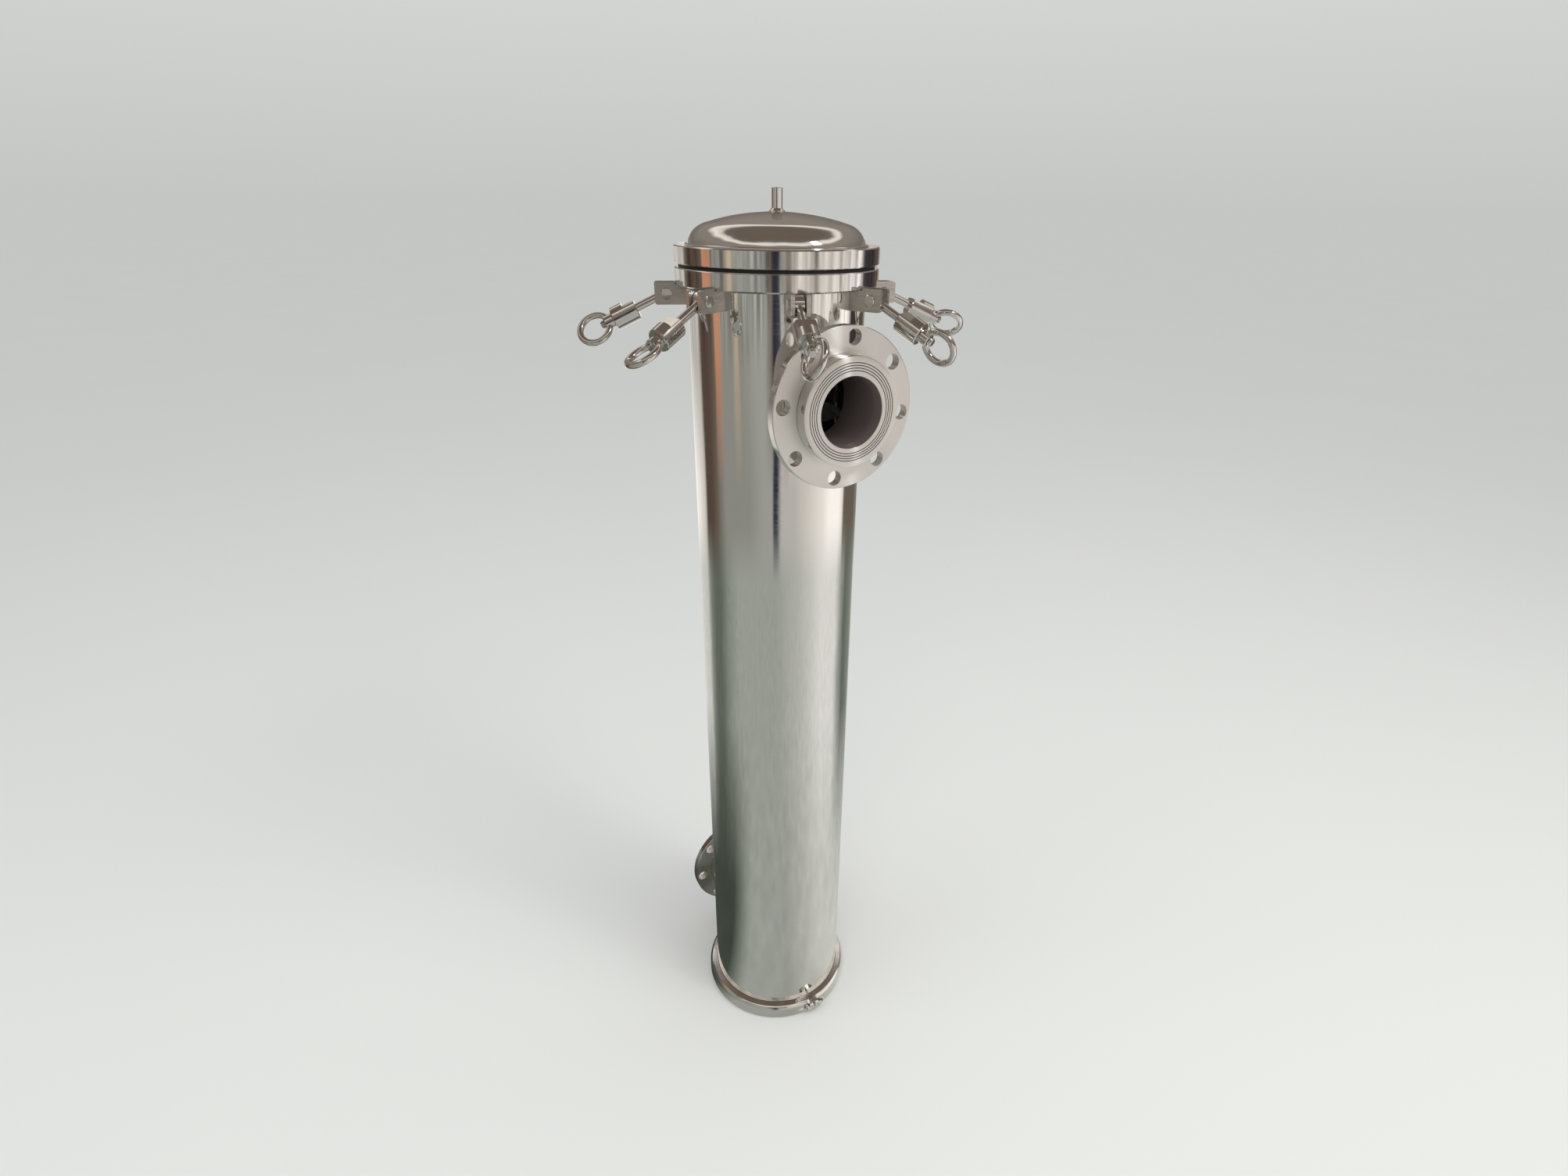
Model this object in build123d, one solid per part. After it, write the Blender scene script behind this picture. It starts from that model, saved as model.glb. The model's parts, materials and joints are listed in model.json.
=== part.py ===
from build123d import *
import math
import os

# A bag filter housing: a tall polished pipe body with a flanged side inlet near the top and a flanged side
# outlet near the bottom, a domed lid held by swing bolts, and a clamped blind cap underneath. A perforated
# basket with a felt bag hangs inside. Millimetres; the origin is at the middle of the base, +Z is up, the
# inlet points to -Y and the outlet to +Y.

# --- driving dimensions: body ---------------------------------------------------------------------------
SHELL_OD = 219.1
SHELL_WALL = 3.0
BODY_TOP = 1209.5
FLANGE_RIM = 14.95
FLANGE_THICK = 20.0
FLANGE_EDGE = 1.2
TOP_WELD_STEP = 3.0

# --- driving dimensions: lid ----------------------------------------------------------------------------
GASKET_WIDTH = 7.0
GASKET_LAND = 2.65
GASKET_CORNER = 1.6
GROOVE_DEPTH = 3.3
GROOVE_CLEAR = 0.2
LID_GAP = 3.8
DOME_RISE = 36.2
DOME_CROWN_R = 300.0
DOME_KNUCKLE_R = 32.7
DOME_SKIRT = 9.0
VENT_OD = 13.5
VENT_WALL = 2.2
VENT_HEIGHT = 25.0
VENT_WELD = 3.2

# --- driving dimensions: nozzles ------------------------------------------------------------------------
NOZZLE_OD = 89.1
NOZZLE_WALL = 4.0
BOLT_ROOM = 87.5
OUTLET_Z = 124.0
NOZZLE_STAND = 70.45
COLLAR_OD = 125.0
COLLAR_THICK = 16.4
COLLAR_EDGE = 1.0
COLLAR_GROOVES = 4
COLLAR_GROOVE_FIRST_R = 46.5
COLLAR_GROOVE_PITCH = 2.85
COLLAR_GROOVE_WIDTH = 0.9
COLLAR_GROOVE_DEPTH = 0.6
PLATE_OD = 185.4
PLATE_THICK = 12.0
PLATE_EDGE = 1.0
PLATE_BORE_CLEAR = 0.7
PLATE_GAP = 0.3
PLATE_HOLES = 8
PLATE_PCD = 160.0
PLATE_HOLE_D = 18.0
INLET_PATTERN_TURN = -7.4
OUTLET_PATTERN_TURN = -5.0

# --- driving dimensions: swing bolts --------------------------------------------------------------------
BOLT_PITCH_ANGLE = 45.0
BOLT_FIRST_ANGLE = -18.6
# One row per bolt: its place on the pattern, how far it stands off it, how far below level it hangs, how far
# its nut is backed off and how its ring is turned.
BOLTS = ((-2, -0.8, 25.2, 0.0, 133.0),
         (-1, -2.6, 26.5, 8.0, 78.0),
         (0, 0.5, 26.4, 0.0, 27.0),
         (1, 1.6, 27.8, 0.0, 157.0),
         (2, 0.6, 23.8, 0.0, 135.0),
         (4, 0.0, 26.0, 0.0, 60.0))
LOWEST_TILT = max(row[2] for row in BOLTS)
PIVOT_OUT = 10.5
PIVOT_BELOW_FLANGE = 10.0
PIN_D = 10.0
PIN_HEAD_D = 13.0
PIN_HEAD_THICK = 1.5
RUNNING_CLEAR = 0.05
EAR_REACH = 14.0
EAR_DROP = 12.6
EAR_RISE = 12.5
EAR_THICK = 4.5
EAR_GAP = 13.0
EAR_CORNER = 3.0
EAR_RIM_CLEAR = 0.3
STOP_START = 9.2
STOP_LENGTH = 4.0
STOP_THICK = 2.4
STOP_CLEAR = 0.1
ROD_D = 10.0
ROD_LENGTH = 88.0
ROD_THREAD_START = 62.5
ROD_PITCH = 1.5
ROD_THREAD_DEPTH = 0.8
EYE_OD = 20.0
EYE_WIDTH = 12.0
EYE_EDGE = 0.8
CLAW_START = 40.0
CLAW_NOTCH = 15.4
CLAW_LIP = 15.6
CLAW_OD = 27.2
CLAW_FLAT = 8.7
CLAW_EDGE = 0.9
CLAW_BORE_CLEAR = 0.08
HUB_OD = 16.6
HUB_LENGTH = 12.0
HUB_EDGE = 1.0
RING_OD = 46.0
RING_WIRE = 8.0
RING_CENTRE = 26.0

# --- driving dimensions: bag and basket -----------------------------------------------------------------
SEAT_Z = 1018.0
SEAT_THICK = 6.0
SEAT_WIDTH = 12.05
SEAL_THICK = 2.0
SEAL_SETBACK = 1.5
RIM_THICK = 3.0
RIM_CLEAR = 2.55
BASKET_CLEAR = 2.5
BASKET_WALL = 1.5
BASKET_DEPTH = 823.0
BASKET_CORNER = 12.0
BASKET_HOLE_D = 12.0
BASKET_HOLES_ROUND = 16
BASKET_ROWS = 16
BASKET_ROW_PITCH = 46.0
BASKET_FIRST_ROW = 60.0
FLOOR_HOLE_RINGS = ((6, 30.0), (12, 60.0))
BAG_CLEAR = 1.5
BAG_WALL = 2.5
BAG_DEPTH = 815.0
BAG_CORNER = 26.0
BAG_RING_THICK = 6.0
BAG_RING_LIP = 9.5
RETAINER_THICK = 5.0
BAIL_WIRE = 8.0
BAIL_HEIGHT = 132.0
BAIL_CORNER = 32.0

# --- driving dimensions: bottom cap and clamp -----------------------------------------------------------
FERRULE_LIP = 7.45
CAP_THICK = 11.0
CAP_RIM_THICK = 4.2
CAP_PLATE = 6.0
CAP_BEVEL_WIDTH = 13.0
SEAL_RING_THICK = 2.0
FERRULE_NECK = 28.0
FERRULE_RIM_THICK = 4.2
BEVEL_ANGLE = 20.0
CLAMP_WALL = 6.3
CLAMP_BOTTOM = 0.5
CLAMP_TOP = 24.2
CLAMP_SHOULDER = 1.0
CLAMP_FOOT_EDGE = 2.0
CLAMP_SHOULDER_DROP = 1.1
CLAMP_CLEAR = 0.3
CLAMP_SHELL_CLEAR = 0.4
CLAMP_ANGLE = 2.4
CLAMP_GAP = 4.0
CLAMP_EAR = 7.0
CLAMP_EAR_MARGIN = 4.5
CLAMP_EAR_CORNER = 3.0
CLAMP_EAR_STEP = 4.0
CLAMP_BOLT_OUT = 9.0
CLAMP_BOLT_D = 6.0
CLAMP_BOLT_PITCH = 1.0
CLAMP_THREAD_DEPTH = 0.55
CLAMP_BOLT_LOOSE = 0.6
CLAMP_BOLT_SPARE = 5.0
NUT_FLATS = 10.0
NUT_THICK = 5.0
HEAD_THICK = 4.0
WASHER_THICK = 1.2
WASHER_OD = 12.0
HINGE_OUT = 13.0
HINGE_PIN_D = 6.0
KNUCKLE_OD = 13.0
KNUCKLE_GAP = 0.2
HINGE_SPLIT = 0.4
KNUCKLES = 3

# --- worked out from the dimensions above ---------------------------------------------------------------
SHELL_R = SHELL_OD / 2
SHELL_IN_R = SHELL_R - SHELL_WALL
FLANGE_R = SHELL_R + FLANGE_RIM
GASKET_INNER_R = SHELL_R + GASKET_LAND
BODY_FLANGE_Z = BODY_TOP - FLANGE_THICK
LID_Z = BODY_TOP + LID_GAP
LID_TOP = LID_Z + FLANGE_THICK
APEX_Z = LID_TOP + DOME_RISE
DOME_R = SHELL_R
NOZZLE_R = NOZZLE_OD / 2
NOZZLE_BORE_R = NOZZLE_R - NOZZLE_WALL
NOZZLE_REACH = SHELL_R + NOZZLE_STAND
COLLAR_BACK = NOZZLE_REACH - COLLAR_THICK
PIVOT_R = FLANGE_R + PIVOT_OUT
PIVOT_Z = BODY_FLANGE_Z - PIVOT_BELOW_FLANGE
# The inlet stands clear of the bolts that hang over it.
INLET_Z = PIVOT_Z - (NOZZLE_REACH - PIVOT_R) * math.tan(math.radians(LOWEST_TILT)) - BOLT_ROOM
CLAW_END = CLAW_START + CLAW_NOTCH + CLAW_LIP
SEAT_INNER_R = SHELL_IN_R - SEAT_WIDTH
SEAL_INNER_R = SEAT_INNER_R + SEAL_SETBACK
BASKET_R = SEAT_INNER_R - BASKET_CLEAR
RIM_R = SHELL_IN_R - RIM_CLEAR
RIM_Z = SEAT_Z + SEAL_THICK
RIM_TOP = RIM_Z + RIM_THICK
BAG_R = BASKET_R - BASKET_WALL - BAG_CLEAR
BAG_RING_TOP = RIM_TOP + BAG_RING_THICK
BAG_RING_IN_R = BAG_R - BAG_WALL - 2.0
BAG_RING_OUT_R = BAG_R + BAG_RING_LIP
GASKET_Z = CAP_THICK
FERRULE_Z = CAP_THICK + SEAL_RING_THICK
FERRULE_R = SHELL_R + FERRULE_LIP
CAP_FACE_R = FERRULE_R - CAP_BEVEL_WIDTH
BEVEL = math.tan(math.radians(BEVEL_ANGLE))
CLAMP_R = FERRULE_R + CLAMP_WALL
CLAMP_SHOULDER_R = FERRULE_R + CLAMP_SHOULDER
CLAMP_BOLT_R = FERRULE_R + CLAMP_BOLT_OUT
HINGE_R = FERRULE_R + HINGE_OUT
CLAMP_MID = (CLAMP_BOTTOM + CLAMP_TOP) / 2
CLAMP_EAR_LOW = CLAMP_BOTTOM + CLAMP_EAR_STEP
CLAMP_EAR_HIGH = CLAMP_TOP - CLAMP_SHOULDER_DROP
CLAMP_BOLT_Z = (CLAMP_EAR_LOW + CLAMP_EAR_HIGH) / 2
CLAMP_EAR_END = CLAMP_GAP / 2 + CLAMP_EAR
FAR = 8 * FLANGE_R


# --- helpers --------------------------------------------------------------------------------------------
def turned(points):
    """A solid of revolution about Z from (radius, height) points."""
    return revolve(Plane.XZ * make_face(Polyline(*points, close=True)), Axis.Z)


def ring(inner_r, outer_r, low, high, edge=0.0):
    """A flat ring between two heights, its two outer corners chamfered by edge."""
    return turned([(inner_r, low), (outer_r - edge, low), (outer_r, low + edge), (outer_r, high - edge),
                   (outer_r - edge, high), (inner_r, high)] if edge else
                  [(inner_r, low), (outer_r, low), (outer_r, high), (inner_r, high)])


def rod(radius, low, high):
    """A plain round bar along Z."""
    return Pos(0, 0, low) * Cylinder(radius, high - low, align=(Align.CENTER, Align.CENTER, Align.MIN))


def bar(radius, low, high):
    """A plain round bar along X."""
    return Rot(0, 90, 0) * rod(radius, low, high)


def cross_bar(radius, low, high):
    """A plain round bar along Y."""
    return Rot(-90, 0, 0) * rod(radius, low, high)


def block(x_range, y_range, z_range):
    """A box given by its limits on the three axes."""
    low = Vector(x_range[0], y_range[0], z_range[0])
    size = Vector(x_range[1], y_range[1], z_range[1]) - low
    return Pos(low) * Box(size.X, size.Y, size.Z, align=(Align.MIN, Align.MIN, Align.MIN))


def threaded(radius, low, high, thread_start, pitch, depth):
    """A round bar along Z with its thread drawn as even V-grooves from thread_start to its end."""
    turns = int((high - thread_start) / pitch)
    first = high - turns * pitch
    points = [(0, low), (radius, low), (radius, first)]
    for turn in range(turns):
        points.append((radius - depth, first + (turn + 0.5) * pitch))
        points.append((radius, first + (turn + 1) * pitch))
    points[-1] = (radius - depth, high)
    points.append((0, high))
    return turned(points)


def hexagon_nut(flats, thick, bore_r, low):
    """A hexagon along Z with both ends turned to a bevel; a bore_r of 0 leaves it solid, as a bolt head."""
    corner_r = flats / math.sqrt(3)
    bevel = (corner_r - flats / 2) * 0.8
    hexagon = Pos(0, 0, low) * extrude(RegularPolygon(corner_r, 6), amount=thick)
    body = hexagon & turned([(0, low), (flats / 2, low), (corner_r, low + bevel),
                             (corner_r, low + thick - bevel), (flats / 2, low + thick), (0, low + thick)])
    return body - rod(bore_r, low, low + thick) if bore_r else body


def around(angle):
    """The turn about Z that takes +X to the direction at this angle from -Y towards +X."""
    return Rot(0, 0, angle - 90)


def save(name, shape):
    """Write one node as a STEP file."""
    solids = shape.solids()
    export_step(solids[0] if len(solids) == 1 else Compound(children=list(solids)), f"parts/{name}.step")


# --- body: shell, top flange, nozzles -------------------------------------------------------------------
def nozzle(shape, side, height):
    """Place a shape built along +Z: side 1 points it to -Y, side -1 to +Y."""
    return Pos(0, 0, height) * Rot(90 * side, 0, 0) * shape


def shell():
    body = ring(SHELL_IN_R, SHELL_R, FERRULE_NECK, BODY_TOP - TOP_WELD_STEP)
    for side, height in ((1, INLET_Z), (-1, OUTLET_Z)):
        body -= nozzle(rod(NOZZLE_R, 0, SHELL_OD), side, height)
    return body


def body_flange():
    flange = ring(SHELL_R, FLANGE_R, BODY_FLANGE_Z, BODY_TOP, FLANGE_EDGE)
    groove_in = GASKET_INNER_R - GROOVE_CLEAR
    groove_out = GASKET_INNER_R + GASKET_WIDTH + GROOVE_CLEAR
    return flange - ring(groove_in, groove_out, BODY_TOP - GROOVE_DEPTH, BODY_TOP + 1)


def nozzle_pipe():
    return rod(NOZZLE_R, 0, COLLAR_BACK) - rod(NOZZLE_BORE_R, -1, COLLAR_BACK + 1)


def collar():
    """The welded stub end: a thick ring whose sealing face has shallow concentric grooves."""
    body = ring(NOZZLE_BORE_R, COLLAR_OD / 2, COLLAR_BACK, NOZZLE_REACH, COLLAR_EDGE)
    for index in range(COLLAR_GROOVES):
        middle = COLLAR_GROOVE_FIRST_R + index * COLLAR_GROOVE_PITCH
        half = COLLAR_GROOVE_WIDTH / 2
        body -= ring(middle - half, middle + half, NOZZLE_REACH - COLLAR_GROOVE_DEPTH, NOZZLE_REACH + 1)
    return body


def loose_flange(turn):
    """The backing plate, free to turn on the pipe behind the collar."""
    front = COLLAR_BACK - PLATE_GAP
    back = front - PLATE_THICK
    plate = ring(NOZZLE_R + PLATE_BORE_CLEAR, PLATE_OD / 2, back, front, PLATE_EDGE)
    for index in range(PLATE_HOLES):
        angle = turn + index * 360 / PLATE_HOLES
        plate -= Rot(0, 0, angle) * Pos(PLATE_PCD / 2, 0, 0) * rod(PLATE_HOLE_D / 2, back - 1, front + 1)
    return plate


def save_nozzle(name, side, height, turn):
    core = rod(SHELL_IN_R, height - NOZZLE_OD, height + NOZZLE_OD)
    save(f"{name}_pipe", nozzle(nozzle_pipe(), side, height) - core)
    save(f"{name}_collar", nozzle(collar(), side, height))
    save(f"{name}_flange", nozzle(loose_flange(turn), side, height))


# --- lid ------------------------------------------------------------------------------------------------
def lid_gasket():
    """A moulded ring that stands in the body flange's groove and carries the lid."""
    height = GROOVE_DEPTH + LID_GAP
    middle = (GASKET_INNER_R + GASKET_WIDTH / 2, BODY_TOP - GROOVE_DEPTH + height / 2)
    return revolve(Plane.XZ * Pos(*middle) * RectangleRounded(GASKET_WIDTH, height, GASKET_CORNER), Axis.Z)


def dome_profile(offset):
    """The dished head's line at a depth of offset inside its outer face: axis, crown, knuckle, skirt."""
    crown_z = APEX_Z - DOME_CROWN_R
    knuckle_x = DOME_R - DOME_KNUCKLE_R
    reach = DOME_CROWN_R - DOME_KNUCKLE_R
    lean = math.asin(knuckle_x / reach)
    knuckle_z = crown_z + reach * math.cos(lean)
    crown_r = DOME_CROWN_R - offset
    knuckle_r = DOME_KNUCKLE_R - offset

    def on_crown(angle):
        return (crown_r * math.sin(angle), crown_z + crown_r * math.cos(angle))

    def on_knuckle(angle):
        return (knuckle_x + knuckle_r * math.sin(angle), knuckle_z + knuckle_r * math.cos(angle))

    half_way = (lean + math.pi / 2) / 2
    skirt_z = knuckle_z - DOME_SKIRT
    crown = ThreePointArc(on_crown(0), on_crown(lean / 2), on_crown(lean))
    knuckle = ThreePointArc(on_crown(lean), on_knuckle(half_way), on_knuckle(math.pi / 2))
    skirt = Line(on_knuckle(math.pi / 2), (DOME_R - offset, skirt_z))
    return [crown, knuckle, skirt]


def dome_filled():
    """The head's outer shape, filled down to the lid's underside, used to fit what is welded to it."""
    lines = dome_profile(0)
    foot = (DOME_R, LID_Z)
    axis_point = (0, LID_Z)
    edges = lines + [Line(lines[-1] @ 1, foot), Line(foot, axis_point), Line(axis_point, lines[0] @ 0)]
    return revolve(Plane.XZ * make_face(edges), Axis.Z)


def lid_dome():
    outer = dome_profile(0)
    inner = dome_profile(SHELL_WALL)
    edges = outer + inner + [Line(outer[-1] @ 1, inner[-1] @ 1), Line(outer[0] @ 0, inner[0] @ 0)]
    head = revolve(Plane.XZ * make_face(edges), Axis.Z)
    return head - rod(VENT_OD / 2, APEX_Z - 2 * SHELL_WALL, APEX_Z + 1)


def lid_flange():
    return ring(DOME_R - SHELL_WALL, FLANGE_R, LID_Z, LID_TOP, FLANGE_EDGE) - dome_filled()


def vent_nipple():
    """A pipe stub through the top of the dome, with the weld bead round its foot."""
    top = APEX_Z + VENT_HEIGHT
    stub = ring(VENT_OD / 2 - VENT_WALL, VENT_OD / 2, APEX_Z - 2 * SHELL_WALL, top, VENT_WALL / 4)
    inside = VENT_OD / 2 - VENT_WALL / 2
    foot = VENT_OD / 2 + VENT_WELD
    bead = turned([(inside, APEX_Z - VENT_WELD), (foot, APEX_Z - VENT_WELD), (foot, APEX_Z + VENT_WELD / 10),
                   (VENT_OD / 2 + VENT_WELD / 3, APEX_Z + VENT_WELD / 2), (VENT_OD / 2, APEX_Z + VENT_WELD),
                   (inside, APEX_Z + VENT_WELD)])
    return stub + (bead - dome_filled())


# --- swing bolts ----------------------------------------------------------------------------------------
# Each is built with its pivot at the origin and its rod along +X; +Z is the side that faces the lid once it
# has swung up.
def on_lug(shape, angle):
    """Place a shape built about the pivot, level and pointing outwards."""
    return around(angle) * Pos(PIVOT_R, 0, PIVOT_Z) * shape


def at_rest(shape, angle, tilt):
    """Place a shape of the swing bolt, hanging at its stop."""
    return on_lug(Rot(0, tilt, 0) * shape, angle)


def lug(tilt):
    """Two ears welded to the shell and the flange, with the bar between them that stops the bolt."""
    rim = FLANGE_R + EAR_RIM_CLEAR - PIVOT_R
    inside = SHELL_IN_R - PIVOT_R
    outline = make_face(Polyline((inside, -EAR_DROP), (EAR_REACH, -EAR_DROP), (EAR_REACH, EAR_RISE),
                                 (rim, EAR_RISE), (rim, PIVOT_BELOW_FLANGE), (inside, PIVOT_BELOW_FLANGE),
                                 close=True))
    outer_corners = outline.vertices().sort_by(Axis.X)[-2:]
    ear = extrude(Plane.XZ * fillet(outer_corners, EAR_CORNER), amount=EAR_THICK / 2, both=True)
    offset = (EAR_GAP + EAR_THICK) / 2
    stop_top = -ROD_D / 2 - STOP_CLEAR
    stop = block((STOP_START, STOP_START + STOP_LENGTH), (-EAR_GAP / 2, EAR_GAP / 2),
                 (stop_top - STOP_THICK, stop_top))
    both = Pos(0, offset, 0) * ear + Pos(0, -offset, 0) * ear + Rot(0, tilt, 0) * stop
    both -= cross_bar(PIN_D / 2 + RUNNING_CLEAR, -FAR, FAR)
    return both - Pos(-PIVOT_R, 0, 0) * rod(SHELL_R, -FAR, FAR)


def pivot_pin():
    """A round pin, closed over at both ends outside the ears."""
    reach = EAR_GAP / 2 + EAR_THICK + RUNNING_CLEAR
    edge = PIN_HEAD_THICK / 2
    head_r = PIN_HEAD_D / 2
    pin = turned([(0, -reach - PIN_HEAD_THICK), (head_r - edge, -reach - PIN_HEAD_THICK),
                  (head_r, -reach - edge), (head_r, -reach), (PIN_D / 2, -reach), (PIN_D / 2, reach),
                  (head_r, reach), (head_r, reach + edge), (head_r - edge, reach + PIN_HEAD_THICK),
                  (0, reach + PIN_HEAD_THICK)])
    return Rot(90, 0, 0) * pin


def eye_bolt():
    eye = Rot(90, 0, 0) * ring(PIN_D / 2 + RUNNING_CLEAR, EYE_OD / 2, -EYE_WIDTH / 2, EYE_WIDTH / 2, EYE_EDGE)
    shank = threaded(ROD_D / 2, 0, ROD_LENGTH, ROD_THREAD_START, ROD_PITCH, ROD_THREAD_DEPTH)
    return eye + (Rot(0, 90, 0) * shank - cross_bar(EYE_OD / 2 - EYE_EDGE, -EYE_WIDTH, EYE_WIDTH))


def claw():
    """A loose sleeve; the half near the pivot is milled flat so that its lip hooks over the lid."""
    sleeve = Rot(0, 90, 0) * ring(ROD_D / 2 + CLAW_BORE_CLEAR, CLAW_OD / 2, CLAW_START, CLAW_END, CLAW_EDGE)
    return sleeve - block((0, CLAW_START + CLAW_NOTCH), (-CLAW_OD, CLAW_OD), (CLAW_FLAT, CLAW_OD))


def ring_nut(turn):
    """A threaded hub with a forged finger ring."""
    hub = Rot(0, 90, 0) * ring(ROD_D / 2, HUB_OD / 2, CLAW_END, CLAW_END + HUB_LENGTH, HUB_EDGE)
    loop = Torus((RING_OD - RING_WIRE) / 2, RING_WIRE / 2)
    nut = hub + Pos(CLAW_END + RING_CENTRE, 0, 0) * Rot(90, 0, 0) * loop
    nut -= bar(ROD_D / 2 + CLAW_BORE_CLEAR, 0, CLAW_END + RING_CENTRE)
    return Rot(-turn, 0, 0) * nut


def save_swing_bolts():
    pins = []
    for number, (step, off, tilt, slack, turn) in enumerate(BOLTS, start=1):
        angle = BOLT_FIRST_ANGLE + step * BOLT_PITCH_ANGLE + off
        backed_off = Pos(slack, 0, 0)
        pins.append(on_lug(pivot_pin(), angle))
        save(f"lug_{number}", on_lug(lug(tilt), angle))
        save(f"eye_bolt_{number}", at_rest(eye_bolt(), angle, tilt))
        save(f"claw_{number}", at_rest(backed_off * claw(), angle, tilt))
        save(f"ring_nut_{number}", at_rest(backed_off * ring_nut(turn), angle, tilt))
    save("pivot_pins", Compound(children=pins))


# --- basket and bag -------------------------------------------------------------------------------------
def cup(outer_r, wall, floor_z, top_z, corner):
    """A thin round cup with a rounded bottom edge, open at the top."""
    turn = corner * (1 - math.sqrt(0.5))
    inner = corner - wall
    bend = inner * (1 - math.sqrt(0.5))
    inner_r = outer_r - wall
    edges = [
        Line((0, floor_z), (outer_r - corner, floor_z)),
        ThreePointArc((outer_r - corner, floor_z), (outer_r - turn, floor_z + turn), (outer_r, floor_z + corner)),
        Line((outer_r, floor_z + corner), (outer_r, top_z)),
        Line((outer_r, top_z), (inner_r, top_z)),
        Line((inner_r, top_z), (inner_r, floor_z + corner)),
        ThreePointArc((inner_r, floor_z + corner), (inner_r - bend, floor_z + wall + bend),
                      (outer_r - corner, floor_z + wall)),
        Line((outer_r - corner, floor_z + wall), (0, floor_z + wall)),
        Line((0, floor_z + wall), (0, floor_z)),
    ]
    return revolve(Plane.XZ * make_face(edges), Axis.Z)


def restrainer_basket():
    """A perforated cup that hangs by its rim; rows of holes stand half a pitch round from each other."""
    floor_z = RIM_TOP - BASKET_DEPTH
    basket = cup(BASKET_R, BASKET_WALL, floor_z, RIM_TOP, BASKET_CORNER)
    basket += ring(BASKET_R, RIM_R, RIM_Z, RIM_TOP)
    drills = []
    for row in range(BASKET_ROWS):
        height = floor_z + BASKET_FIRST_ROW + row * BASKET_ROW_PITCH
        for index in range(BASKET_HOLES_ROUND):
            angle = (index + 0.5 * (row % 2)) * 360 / BASKET_HOLES_ROUND
            drills.append(Pos(0, 0, height) * Rot(0, 0, angle) * bar(BASKET_HOLE_D / 2, BASKET_R / 2, FLANGE_R))
    for count, radius in FLOOR_HOLE_RINGS:
        for index in range(count):
            angle = index * 360 / count
            drills.append(Rot(0, 0, angle) * Pos(radius, 0, 0) * rod(BASKET_HOLE_D / 2, floor_z - 1,
                                                                    floor_z + BASKET_WALL + 1))
    return basket - drills


def filter_bag():
    return cup(BAG_R, BAG_WALL, RIM_TOP - BAG_DEPTH, RIM_TOP, BAG_CORNER)


def bag_retainer():
    """The ring that presses the bag's collar down, with the bail it is lifted by."""
    top = BAG_RING_TOP + RETAINER_THICK
    foot = (BAG_RING_IN_R + BAG_RING_OUT_R) / 2
    peak = top + BAIL_HEIGHT
    path = FilletPolyline((-foot, top - 1), (-foot, peak), (foot, peak), (foot, top - 1), radius=BAIL_CORNER)
    wire = sweep(Pos(-foot, 0, top - 1) * Circle(BAIL_WIRE / 2), path=Plane.XZ * path)
    return ring(BAG_RING_IN_R, BAG_RING_OUT_R, BAG_RING_TOP, top) + wire


def save_inside():
    save("bag_seat_ring", ring(SEAT_INNER_R, SHELL_IN_R, SEAT_Z - SEAT_THICK, SEAT_Z))
    save("basket_seal", ring(SEAL_INNER_R, RIM_R, SEAT_Z, RIM_Z))
    save("restrainer_basket", restrainer_basket())
    save("filter_bag", filter_bag())
    save("bag_ring", ring(BAG_RING_IN_R, BAG_RING_OUT_R, RIM_TOP, BAG_RING_TOP))
    save("bag_retainer", bag_retainer())


# --- bottom cap and clamp -------------------------------------------------------------------------------
def bottom_cap():
    """A blind cap: flat underneath, hollowed above, its rim bevelled for the clamp."""
    rim_low = CAP_THICK - CAP_RIM_THICK
    foot_z = rim_low - (FERRULE_R - CAP_FACE_R) * BEVEL
    return turned([(0, 0), (CAP_FACE_R, 0), (CAP_FACE_R, foot_z), (FERRULE_R, rim_low), (FERRULE_R, CAP_THICK),
                   (SHELL_IN_R, CAP_THICK), (SHELL_IN_R - CAP_PLATE, CAP_PLATE), (0, CAP_PLATE)])


def bottom_ferrule():
    """The welded end of the shell: a short neck over a rim bevelled for the clamp."""
    rim_top = FERRULE_Z + FERRULE_RIM_THICK
    return turned([(SHELL_IN_R, FERRULE_Z), (FERRULE_R, FERRULE_Z), (FERRULE_R, rim_top),
                   (SHELL_R, rim_top + (FERRULE_R - SHELL_R) * BEVEL), (SHELL_R, FERRULE_NECK),
                   (SHELL_IN_R, FERRULE_NECK)])


def clamp_cavity():
    """The space inside the clamp: the two bevelled rims grown by the clearance."""
    outer = FERRULE_R + CLAMP_CLEAR
    low = CAP_THICK - CAP_RIM_THICK - CLAMP_CLEAR
    high = FERRULE_Z + FERRULE_RIM_THICK + CLAMP_CLEAR
    inner_low = CAP_FACE_R + CLAMP_SHELL_CLEAR
    inner_high = SHELL_R + CLAMP_SHELL_CLEAR
    return turned([(0, low - (FERRULE_R - inner_low) * BEVEL), (inner_low, low - (FERRULE_R - inner_low) * BEVEL),
                   (outer, low), (outer, high), (inner_high, high + (FERRULE_R - inner_high) * BEVEL),
                   (0, high + (FERRULE_R - inner_high) * BEVEL)])


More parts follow.
